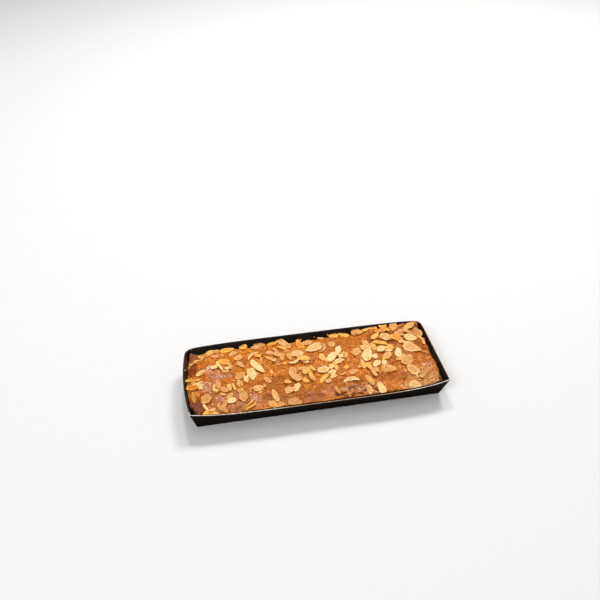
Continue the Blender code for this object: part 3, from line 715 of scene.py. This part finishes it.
def crust_material():
    """Mottled glaze, with its bare, pale, torn and dark places, a painted sheen and painted glints on
    the glaze, and painted shade in its hollows.
    """
    mat = Nodes("baked_crust")
    bare, pale, painted_sheen = mat.value("bare"), mat.value("pale"), mat.value("painted_sheen")
    broad, middle, fine = mat.noise(0.024, 3.0), mat.noise(0.0055), mat.noise(0.0024)
    specks = mat.noise(0.003, 2.0, 0.4)
    colour = mat.tint(broad, 0.35, 0.65, (176, 88, 0), (194, 107, 10))
    colour = mat.tint(middle, 0.45, 0.75, colour, (214, 130, 40), 0.8)
    colour = mat.tint(fine, 0.51, 0.68, colour, (130, 52, 0), 0.85)
    colour = mat.tint(fine, 0.48, 0.33, colour, (236, 159, 62), 0.7)
    colour = mat.tint(specks, 0.66, 0.76, colour, (112, 44, 4), 0.6)
    # Painted glints: sparse pale specks on the glaze
    painted_glints = mat.span(mat.noise(0.0021, 3.0), 0.57, 0.7)
    painted_glints = mat.times(painted_glints, mat.span(broad, 0.35, 0.6, 0.35, 0.8))
    colour = mat.mix(painted_glints, colour, (240, 186, 134))
    # Painted sheen: a pale greyish-pink film colour on the sheen patches, which also get the glossy
    # coat below
    painted_sheen_colour = mat.tint(fine, 0.4, 0.6, (172, 98, 54), (212, 142, 96))
    colour = mat.mix(mat.times(painted_sheen, mat.span(middle, 0.3, 0.6)), colour, painted_sheen_colour)
    colour = mat.mix(pale, colour, mat.tint(fine, 0.4, 0.6, (218, 158, 100), (163, 97, 46)))
    torn = mat.value("torn")
    colour = mat.mix(torn, colour, mat.tint(middle, 0.35, 0.65, (152, 78, 28), (224, 152, 88)))
    deep = mat.mix(middle, (106, 42, 0), (146, 66, 0))
    colour = mat.mix(mat.value("dark"), colour, deep)
    colour = mat.mix(bare, colour, mat.tint(fine, 0.35, 0.65, (104, 52, 27), (170, 104, 66)))
    # Painted shade: near-black brown in cracks, clefts, pin holes, low places and the corner hole
    colour = mat.mix(mat.value("hollow"), colour, (62, 28, 12))
    matt = mat.math("MAXIMUM", bare, mat.times(pale, 0.75))
    wavering = mat.span(middle, 0.35, 0.65, 0.34, 0.6)
    rough = mat.add("Mix", 0, {0: matt, 2: wavering, 3: 0.85}, data_type="FLOAT")
    glaze = mat.math("MAXIMUM", matt, mat.times(torn, 0.4))
    glaze = mat.math("SUBTRACT", 1.0, glaze, clamp=True)
    coat = mat.times(glaze, mat.span(painted_sheen, 0.3, 1.0, 0.05, 1.0))
    mat.link(coat, mat.shader.inputs["Coat Weight"])
    mat.shader.inputs["Coat Roughness"].default_value = 0.26
    mat.link(mat.bump(mat.noise(0.0062, 1.0), 0.0019), mat.shader.inputs["Coat Normal"])
    pebbled = mat.bump(mat.noise(0.0032, 3.0), 0.0009)
    grainy = mat.bump(mat.noise(0.0013, 5.0, 0.6), 0.0004, pebbled)
    return mat.finish(colour, rough, 0.08, grainy)


def almond_material():
    """Almond by its bake, with a dark brown band along the rim: partly its skin, partly painted shade
    at the flake's edge.
    """
    mat = Nodes("toasted_almond")
    rim = mat.value("rim")
    inner = mat.times(mat.value("core"), mat.span(rim, 0.58, 0.92, 0.06, -0.13))
    blotch = mat.span(mat.noise(0.003), 0.3, 0.7, -0.1, 0.1)
    bake = mat.math("ADD", mat.math("ADD", mat.value("tone"), inner), blotch)
    bake = mat.math("MAXIMUM", bake, 0.0, clamp=True)
    toast = mat.add("ValToRGB", "Color", {"Fac": bake})
    stops = toast.node.color_ramp.elements
    for place, paint in ALMOND_TONES:
        stops.new(place).color = rgb(*paint)
    stops.remove(stops[0])
    stops.remove(stops[len(stops) - 1])
    grain = mat.noise(0.0014, 3.0)
    colour = mat.tint(grain, 0.4, 0.62, toast, (210, 138, 66), 0.28)
    gilt = mat.span(mat.noise(0.005, 2.0), 0.42, 0.6, 0.0, 0.6)
    colour = mat.mix(mat.times(mat.span(rim, 0.7, 0.96), gilt), colour, (250, 190, 88))
    # Dark brown band at the very rim: partly the almond's skin, partly painted shade along the
    # flake's edge
    colour = mat.tint(rim, 0.95, 1.0, colour, (184, 106, 40), 0.4)
    wavy = mat.bump(mat.noise(0.0048, 2.0), 0.0012)
    return mat.finish(colour, 0.45, 0.18, mat.bump(mat.noise(0.001), 0.00022, wavy))


def lip_material():
    mat = Nodes("glaze_lip")
    grain = mat.noise(0.003, 3.0)
    colour = mat.tint(grain, 0.3, 0.7, (218, 146, 76), (250, 206, 138))
    return mat.finish(colour, 0.4, 0.3, mat.bump(grain, 0.0003))


def crumb_material():
    mat = Nodes("dark_crumb")
    grain = mat.noise(0.0018)
    colour = mat.tint(grain, 0.35, 0.65, (92, 46, 30), (150, 90, 60))
    colour = mat.tint(mat.noise(0.0045, 3.0), 0.55, 0.7, colour, (64, 32, 20), 0.6)
    return mat.finish(colour, 0.85, 0.15, mat.bump(grain, 0.0007))


def stained(mat, colour):
    """The card's colour, stained by the bar towards the tray's left end."""
    stain = mat.mix(mat.noise(0.003), (40, 24, 15), (96, 60, 38))
    sides = mat.span(mat.away(mat.along("Y"), 0.033), 0.008, 0.016, 1.0, 0.15)
    end = mat.span(mat.along("X"), -0.14, -0.144)
    return mat.mix(mat.times(end, sides), colour, stain)


def board_material(name, deep, worn, level, inside=False):
    """Black card that varies between two colours, with lighter fibres."""
    mat = Nodes(name)
    fibre, smear = mat.noise(0.0011, 5.0), mat.noise(0.018, 3.0)
    colour = mat.tint(smear, 0.3, 0.7, deep, worn)
    colour = mat.tint(fibre, 0.6, 0.8, colour, (44, 36, 30), 0.4)
    if inside:
        colour = stained(mat, colour)
    rough = mat.span(smear, 0.3, 0.7, 0.6, 0.75)
    return mat.finish(colour, rough, level, mat.bump(fibre, 0.00008))


def raw_edge_material():
    """The cut edge of the card: bare and pale along the front, darker towards the front's middle,
    bare and tan along the right end, and dark elsewhere.
    """
    mat = Nodes("raw_board_edge")
    x, y, fibre = mat.along("X"), mat.along("Y"), mat.noise(0.004)
    pale = mat.tint(fibre, 0.35, 0.65, (196, 176, 154), (252, 243, 230))
    pale = mat.tint(mat.away(x, 0.025), 0.09, 0.045, pale, (150, 112, 76), 0.75)
    tan = mat.tint(fibre, 0.35, 0.65, (192, 142, 94), (230, 188, 140))
    colour = mat.tint(x, 0.144, 0.1455, (40, 33, 27), tan)
    colour = mat.tint(y, -0.044, -0.05, colour, pale)
    return mat.finish(colour, 0.85, 0.2, mat.bump(fibre, 0.00006))


def build_tray():
    """The tray as a thin sheet: a grid for its base, and the border raised for its walls."""
    mesh = grid_mesh(TRAY_CELLS)
    extrude_border(mesh, -1.0, WALL_STEPS)
    face_outwards(mesh)
    data = to_data(mesh, "baking_tray_board")
    a, b, level = coordinates(data).T
    h = level / WALL_STEPS
    x, y = plan(a, b, h)
    x, y = pulled(x, y, a, b, BACK_CORNER_PULL * h * (b > 0))
    front, back = smooth(-RIM_ROW, -1.0, b), smooth(RIM_ROW, 1.0, b)
    z = WALL_HEIGHT * h - FRONT_DROP * front_bow(a) * h * front + BACK_RISE * bow(a) * h * back
    set_points(data, np.column_stack([x, y, z]))
    return data


def solid_board(data):
    """Gives the sheet its thickness inwards, with other materials for its cut edge and its inside."""
    if data.polygons[0].normal.z > 0:
        data.flip_normals()
    sheet = put("sheet", data)
    board = sheet.modifiers.new("board", "SOLIDIFY")
    board.thickness = BOARD
    board.offset = -1.0
    board.use_even_offset = True
    board.material_offset_rim = 1
    board.material_offset = 2
    data.materials.append(board_material("black_card", (11, 7, 4), (23, 16, 10), 0.03))
    data.materials.append(raw_edge_material())
    data.materials.append(board_material("card_inside", (20, 17, 15), (38, 34, 30), 0.15, True))
    graph = bpy.context.evaluated_depsgraph_get()
    solid = bpy.data.meshes.new_from_object(sheet.evaluated_get(graph))
    bpy.data.objects.remove(sheet)
    return solid


def build_crust():
    """The bar's whole skin: a grid for its crust, the border let down for its sides, and its foot."""
    mesh = grid_mesh(BAR_CELLS)
    extrude_border(mesh, 1.0, SIDE_STEPS)
    bmesh.ops.contextual_create(mesh, geom=border(mesh))
    face_outwards(mesh)
    data = to_data(mesh, "bar_crust")
    a, b, level = coordinates(data).T
    points = bar_points(a, b, -level)
    set_points(data, points)
    x, y, _ = points.T
    fields = {name: patch(x, y, name) for name in ("bare", "pale", "torn", "painted_sheen", "dark")}
    fields["bare"] = np.maximum(fields["bare"], smooth(*BARE_SIDE, level))
    # Painted shade: how far the colour is darkened in cracks, clefts, pin holes, the glaze's low
    # places and the hole at the front left corner
    cleft_shade = fields["torn"] * (1 - smooth(*CLEFT_SHADE_EDGE, torn_lumps(x, y)))
    pit_shade = np.maximum(np.clip(crack_depth(x, y) / PIT_SHADE_DEPTH, 0, 1), CLEFT_SHADE_SHARE * cleft_shade)
    low = np.clip(-octaves(NOISES, x, y, PEBBLES) / LOW_SHADE_DEPTH, 0, 1)
    hole_shade = smooth(SHADED_HOLE_REACH, SHADED_HOLE_CORE * SHADED_HOLE_REACH, np.hypot(x - SHADED_HOLE[0], y - SHADED_HOLE[1]))
    hollow = np.maximum(np.maximum(pit_shade, LOW_SHADE_SHARE * low) * (level >= 0), hole_shade)
    add_values(data, hollow=hollow, **fields)
    return data


class Ground:
    """The height of what the flakes fall on: the crust, raised by each flake in turn."""

    def __init__(self, crust):
        points = coordinates(crust)[:, :2]
        self.low = points.min(axis=0)
        size = ((points.max(axis=0) - self.low) / MAP_CELL).astype(int) + 1
        self.columns, self.rows = map(int, size)
        holder = put("holder", crust)
        bpy.context.view_layer.update()
        self.heights = np.zeros((self.columns + 1, self.rows + 1))
        for i, j in np.ndindex(*self.heights.shape):
            above = (self.low[0] + i * MAP_CELL, self.low[1] + j * MAP_CELL, 1.0)
            hit, place, _, _ = holder.ray_cast(above, (0, 0, -1))
            self.heights[i, j] = place[2] if hit else 0.0
        bpy.data.objects.remove(holder)

    def at(self, x, y):
        i = np.clip((np.asarray(x) - self.low[0]) / MAP_CELL, 0, self.columns - 0.001)
        j = np.clip((np.asarray(y) - self.low[1]) / MAP_CELL, 0, self.rows - 0.001)
        column, row = i.astype(int), j.astype(int)
        return between(self.heights, column, column + 1, row, row + 1, i - column, j - row)

    def raise_under(self, flake):
        reach = int(flake.length / MAP_CELL) + 1
        middle = ((np.array([flake.x, flake.y]) - self.low) / MAP_CELL).astype(int)
        i0, j0 = np.maximum(middle - reach, 0)
        i1, j1 = min(middle[0] + reach, self.columns), min(middle[1] + reach, self.rows)
        i, j = np.meshgrid(np.arange(i0, i1), np.arange(j0, j1), indexing="ij")
        x, y = self.low[0] + i * MAP_CELL, self.low[1] + j * MAP_CELL
        p, q = flake.inside(x, y)
        top = np.where(p * p + q * q < 1, flake.under(x, y, p, q) + flake.thick, 0.0)
        block = self.heights[i0:i1, j0:j1]
        block[:] = np.maximum(block, top)


class Flake:
    """A thin slice of almond that has come to rest on the ground below it."""

    def __init__(self, ground, draw, kind, x, y, length, width, turn, bake):
        self.kind, self.taper, self.bend = KINDS[kind]
        self.x, self.y = x * MM, y * MM
        self.length, self.width = length * MM, width * MM
        self.cos, self.sin = math.cos(math.radians(turn)), math.sin(math.radians(turn))
        self.tone = float(np.clip(bake / 10 + draw.uniform(-TONE_SPREAD, TONE_SPREAD), 0, 1))
        self.core = draw.uniform(0.0, 1.0)
        self.thick = FLAKE_THICKNESS * draw.uniform(*THICKNESS_SPREAD)
        self.cup = draw.uniform(*CUP_SPREAD, 2) * (self.length, self.width) * FLAKE_CUP
        self.twist = draw.uniform(-1, 1) * self.length * FLAKE_TWIST
        self.tip = draw.uniform(-FLAKE_TIP, FLAKE_TIP, 2)
        self.waves = draw.uniform(0, FULL_TURN, len(RIM_WAVES))
        self.settle(ground)
        ground.raise_under(self)

    def outward(self, p, q):
        """Plan position of a point given along and across the flake, each -1 to 1."""
        along = p * self.length / 2
        aside = self.bend * self.length * (p * p - CURL_MEAN)
        across = q * self.width / 2 * (1 - self.taper * p) + aside
        east, north = along * self.cos, along * self.sin
        return self.x + east - across * self.sin, self.y + north + across * self.cos

    def inside(self, x, y):
        """The reverse of outward."""
        east, north = x - self.x, y - self.y
        p = (east * self.cos + north * self.sin) / (self.length / 2)
        aside = self.bend * self.length * (p * p - CURL_MEAN)
        half = self.width / 2 * np.maximum(1 - self.taper * p, 1 - self.taper)
        return p, (north * self.cos - east * self.sin - aside) / half

    def shape(self, p, q):
        """The flake's own bend above its plane."""
        dish = self.cup[0] * (p * p - CURL_MEAN) + self.cup[1] * (q * q - CURL_MEAN)
        return dish + self.twist * p * q

    def settle(self, ground):
        ring, step = np.meshgrid(PROBE_RINGS, np.arange(PROBE_TURNS) * FULL_TURN / PROBE_TURNS)
        p, q = (ring * np.cos(step)).ravel(), (ring * np.sin(step)).ravel()
        x, y = self.outward(p, q)
        below = ground.at(x, y)
        heights, on_bar = below - self.shape(p, q), below > WALL_HEIGHT / 2
        if on_bar.sum() < 3:
            on_bar[:] = True
        east, north, heights = (x - self.x)[on_bar], (y - self.y)[on_bar], heights[on_bar]
        basis = np.column_stack([np.ones(len(heights)), east, north])
        fitted = np.linalg.lstsq(basis, heights, rcond=None)[0]
        self.lean = np.clip(fitted[1:] + self.tip, -MOST_LEAN, MOST_LEAN)
        self.lean[1] = max(self.lean[1], -BACK_LEAN)
        levels = heights - east * self.lean[0] - north * self.lean[1]
        self.level = lerp(levels.max(), levels.mean(), FLAKE_SINK)

    def under(self, x, y, p, q):
        """Height of the flake's underside."""
        rise = self.lean[0] * (x - self.x) + self.lean[1] * (y - self.y)
        return self.level + rise + self.shape(p, q)

    def chip_corners(self):
        """Corners of a broken flake, the same as in the CAD, with the first one again at the end."""
        draw = random.Random(f"{self.x:.3f} {self.y:.3f}")
        step = FULL_TURN / CHIP_CORNERS
        corners = []
        for corner in range(CHIP_CORNERS):
            angle = corner * step + CHIP_SKEW * step * draw.uniform(-1, 1)
            reach = draw.uniform(*CHIP_REACH)
            corners.append((reach * math.cos(angle), reach * math.sin(angle)))
        return corners + corners[:1]

    def outline(self):
        """The ragged rim, along and across the flake."""
        angle = np.arange(FLAKE_SEGMENTS) * FULL_TURN / FLAKE_SEGMENTS
        p, q = np.cos(angle), np.sin(angle)
        if self.kind == "strip":
            p, q = (np.sign(way) * np.abs(way) ** STRIP_SQUARENESS for way in (p, q))
        if self.kind == "chip":
            corners = self.chip_corners()
            place = np.arange(FLAKE_SEGMENTS) * CHIP_CORNERS / FLAKE_SEGMENTS
            sides = [np.interp(place, range(len(corners)), column) for column in zip(*corners)]
            p, q = lerp(sides[0], p, CHIP_ROUNDING), lerp(sides[1], q, CHIP_ROUNDING)
        waves = zip(RIM_WAVES, self.waves)
        ragged = sum(depth * np.cos(count * angle + phase) for (count, depth), phase in waves)
        ragged = 1 + (1.0 if self.kind == "oval" else RAGGED_RIM) * ragged
        return p * ragged, q * ragged

    def mesh(self):
        """Vertices, faces, and for each vertex how near the rim it is."""
        p_rim, q_rim = self.outline()
        rings = [(ring, 1.0) for ring in FLAKE_RINGS] + [(1.0, step) for step in RIM_STEPS]
        rings += [(ring, 0.0) for ring in reversed(FLAKE_RINGS)]
        points, rims = [], []
        for ring, share in rings:
            p, q = p_rim * ring, q_rim * ring
            if ring == 0.0:
                p, q = p[:1], q[:1]
            x, y = self.outward(p, q)
            thin = self.thick * (1 - RIM_THINNING * ring**4)
            z = self.under(x, y, p, q) + thin * share
            points.append(np.column_stack([x, y, z]))
            rims.append(np.full(len(x), ring))
        count = FLAKE_SEGMENTS
        steps = [(k, (k + 1) % count) for k in range(count)]
        faces = [(0, 1 + k, 1 + after) for k, after in steps]
        last = 1 + count * (len(rings) - 3)
        for start in range(1, last, count):
            below = start + count
            faces += [(start + k, below + k, below + after, start + after) for k, after in steps]
        faces += [(last + after, last + k, last + count) for k, after in steps]
        return np.concatenate(points), faces, np.concatenate(rims)


def keep_off_board(points):
    """Moves what lies past the bar's edge back inside the tray's walls."""
    x, y, z = points.T
    h = np.clip(z / WALL_HEIGHT, 0, 1)
    a = np.clip((x - SHIFT_X) / (BASE_LENGTH / 2), -1, 1)
    b = np.clip((y - SHIFT_Y) / (BASE_WIDTH / 2), -1, 1)
    gaps = (FLAKE_CLEAR,) * 4
    left, front = plan(-1, b, h, gaps)[0], plan(a, -1, h, gaps)[1]
    right, back = plan(1, b, h, gaps)[0], plan(a, 1, h, gaps)[1]
    return np.column_stack([np.clip(x, left, right), np.clip(y, front, back), z])


def join_flakes(name, flakes):
    meshes = [flake.mesh() for flake in flakes]
    sizes = [len(points) for points, _, _ in meshes]
    data = joined(name, [(keep_off_board(points), faces) for points, faces, _ in meshes])
    add_values(
        data,
        tone=np.repeat([flake.tone for flake in flakes], sizes),
        core=np.repeat([flake.core for flake in flakes], sizes),
        rim=np.concatenate([rims for _, _, rims in meshes]),
    )
    return data


def sweep(name, points, radii, sides):
    """A closed tube along the points, with a pair of radii, across and upright, at each of them."""
    ahead = np.gradient(points, axis=0)
    ahead = ahead / np.linalg.norm(ahead, axis=1)[:, None]
    side = np.cross(ahead, (0, 0, 1))
    side = side / np.linalg.norm(side, axis=1)[:, None]
    above = np.cross(side, ahead)
    turns = np.arange(sides) * FULL_TURN / sides
    rings = [
        middle + radius[0] * np.outer(np.cos(turns), across) + radius[1] * np.outer(np.sin(turns), up)
        for middle, radius, across, up in zip(points, radii, side, above)
    ]
    last = (len(points) - 1) * sides
    faces = []
    for low in range(0, last, sides):
        high = low + sides
        for k in range(sides):
            after = (k + 1) % sides
            faces.append((low + k, high + k, high + after, low + after))
    faces += [(sides - 1, *range(sides - 1)), (last, *range(last + sides - 1, last, -1))]
    return from_points(name, np.concatenate(rings), faces)


def build_lip(ground):
    """The thin curled edge of the glaze, laid along the crust."""
    steps = np.linspace(0, len(LIP) - 1, LIP_STEPS)
    x, y = (np.interp(steps, range(len(LIP)), column) for column in zip(*LIP))
    y = y + LIP_SWAY[1] * NOISES[5].at(x, y, LIP_SWAY[0])
    path = np.column_stack([x, y, ground.at(x, y) + LIP_RADIUS * LIP_RISE])
    thin = np.sin(np.linspace(LIP_TIP, math.pi - LIP_TIP, LIP_STEPS)) ** 0.5
    radius = LIP_RADIUS * thin * (1 + LIP_SWELL[1] * NOISES[6].at(x, y, LIP_SWELL[0]))
    return sweep("glaze_lip", path, np.column_stack([radius, radius * LIP_STRETCH]), LIP_SIDES)


def add_lump(mesh, rim):
    """A block below the given rim, narrower at its foot, as in the CAD."""
    corners = np.array(rim) * MM
    below = lerp(corners.mean(axis=0), corners, LUMP_TAPER)
    below[:, 2] = LUMP_FOOT
    top = [mesh.verts.new(corner) for corner in keep_off_board(corners)]
    foot = [mesh.verts.new(corner) for corner in keep_off_board(below)]
    mesh.faces.new(top)
    mesh.faces.new(reversed(foot))
    for number in range(len(corners)):
        mesh.faces.new((top[number - 1], foot[number - 1], foot[number], top[number]))


def build_lumps():
    """The chunks of chocolate-brown crumb at two of the bar's corners."""
    mesh = bmesh.new()
    for rim in LUMPS:
        add_lump(mesh, rim)
    face_outwards(mesh)
    bmesh.ops.triangulate(mesh, faces=list(mesh.faces))
    for _ in range(LUMP_CUTS):
        bmesh.ops.subdivide_edges(mesh, edges=list(mesh.edges), cuts=1, use_grid_fill=True)
        bmesh.ops.triangulate(mesh, faces=list(mesh.faces))
    for _ in range(LUMP_ROUNDING):
        bmesh.ops.smooth_vert(
            mesh, verts=list(mesh.verts), factor=0.5,
            use_axis_x=True, use_axis_y=True, use_axis_z=True,
        )
    mesh.normal_update()
    normals = np.array([vertex.normal for vertex in mesh.verts])
    data = to_data(mesh, "crumb_lumps")
    points = coordinates(data)
    x, y, z = points.T
    bumps = octaves(NOISES[2:], x + z, y - z, LUMP_GRAINS)
    set_points(data, keep_off_board(points + normals * bumps[:, None]))
    return data


def build_crumbs():
    """Golden crumbs that stick to the tray."""
    mesh = bmesh.new()
    bmesh.ops.create_icosphere(mesh, subdivisions=2, radius=1.0)
    ball = to_data(mesh, "ball")
    points = coordinates(ball)
    faces = [tuple(face.vertices) for face in ball.polygons]
    along, across = points[:, 0], points[:, 1] + points[:, 2]
    parts = []
    for x, y, z, size, _ in CRUMBS:
        rough = 1 + CRUMB_SWELL[1] * NOISES[2].at(along + x * CRUMB_APART, across, CRUMB_SWELL[0])
        parts.append((points * rough[:, None] * size / 2 * CRUMB_SQUASH + (x, y, z), faces))
    data = joined("tray_crumbs", parts)
    none = np.zeros(len(data.vertices))
    bakes = np.repeat([row[-1] / 10 for row in CRUMBS], len(points))
    add_values(data, tone=bakes, rim=none, core=none)
    return data


def scattered_bits(flakes, ground, draw):
    """Broken bits of almond, most of them close to a flake."""
    bits = []
    for _ in range(BIT_COUNT):
        flake = flakes[int(draw.integers(len(flakes)))]
        turn, away = draw.uniform(0, FULL_TURN), draw.uniform(*BIT_AWAY) * flake.length
        x, y = flake.x + away * math.cos(turn), flake.y + away * math.sin(turn) * BIT_SQUEEZE
        long = draw.uniform(*BIT_LENGTHS)
        place = (x / MM, y / MM, long, long * draw.uniform(*BIT_WIDTHS), draw.uniform(-90, 90))
        bake = draw.uniform(*BIT_BAKES)
        if ground.at(x, y) > WALL_HEIGHT / 2:
            bits.append(Flake(ground, draw, "c", *place, bake))
    return bits


def build_flakes(ground):
    draw = np.random.default_rng(SEED)
    rows = [row.split() for row in FLAKES.split(",")]
    flakes = [Flake(ground, draw, kind, *map(int, numbers)) for kind, *numbers in rows]
    return flakes, scattered_bits(flakes, ground, draw)


def add_stage():
    bpy.ops.mesh.primitive_plane_add(size=FLOOR_SIZE, location=(0, 0, 0))
    floor = bpy.context.object
    floor.name = "studio_floor"
    mat = Nodes("studio_floor")
    mat.shader.inputs["Base Color"].default_value = (FLOOR_GREY, FLOOR_GREY, FLOOR_GREY, 1.0)
    mat.shader.inputs["Roughness"].default_value = FLOOR_ROUGHNESS
    floor.data.materials.append(mat.material)


def add_lights():
    """An even sky, and round soft lights that face the origin."""
    world = bpy.data.worlds.new("studio")
    world.use_nodes = True
    sky = world.node_tree.nodes["Background"].inputs
    sky["Color"].default_value = (1.0, 1.0, 1.0, 1.0)
    sky["Strength"].default_value = SKY_STRENGTH
    bpy.context.scene.world = world
    for name, place, size, power, colour in LIGHTS:
        light = bpy.data.lights.new(name, "AREA")
        light.shape = "DISK"
        light.size = size
        light.energy = power
        light.color = colour
        lamp = put(name, light)
        lamp.location = place
        lamp.rotation_euler = (-Vector(place)).to_track_quat("-Z", "Y").to_euler()


def add_camera():
    data = bpy.data.cameras.new("photo_camera")
    data.sensor_width = SENSOR
    data.lens = FOCAL_PIXELS / FRAME_PIXELS * SENSOR
    camera = put("photo_camera", data)
    place, aim = (Vector(point) - Vector((ORIGIN_X, 0, 0)) for point in (CAMERA, CAMERA_AIM))
    turn = (aim - place).to_track_quat("-Z", "Y").to_matrix().to_4x4()
    camera.matrix_world = Matrix.Translation(place) @ turn @ Matrix.Rotation(CAMERA_ROLL, 4, "Z")
    bpy.context.scene.camera = camera


def main():
    bpy.context.scene.view_settings.view_transform = "Standard"
    add_camera()
    board = solid_board(build_tray())
    add_piece("tray_board", board, [], "baking_tray")
    crust = build_crust()
    ground = Ground(crust)
    add_piece("bar_crust", crust, [crust_material()], "speculaas_bar")
    flakes, bits = build_flakes(ground)
    almond = almond_material()
    for name, group in (("almond_flakes", flakes), ("almond_bits", bits)):
        add_piece(name, join_flakes(name, group), [almond], "speculaas_bar", CREASE)
    add_piece("tray_crumbs", build_crumbs(), [almond], "speculaas_bar")
    add_piece("crumb_lumps", build_lumps(), [crumb_material()], "speculaas_bar")
    add_piece("glaze_lip", build_lip(ground), [lip_material()], "speculaas_bar")
    add_stage()
    add_lights()


main()
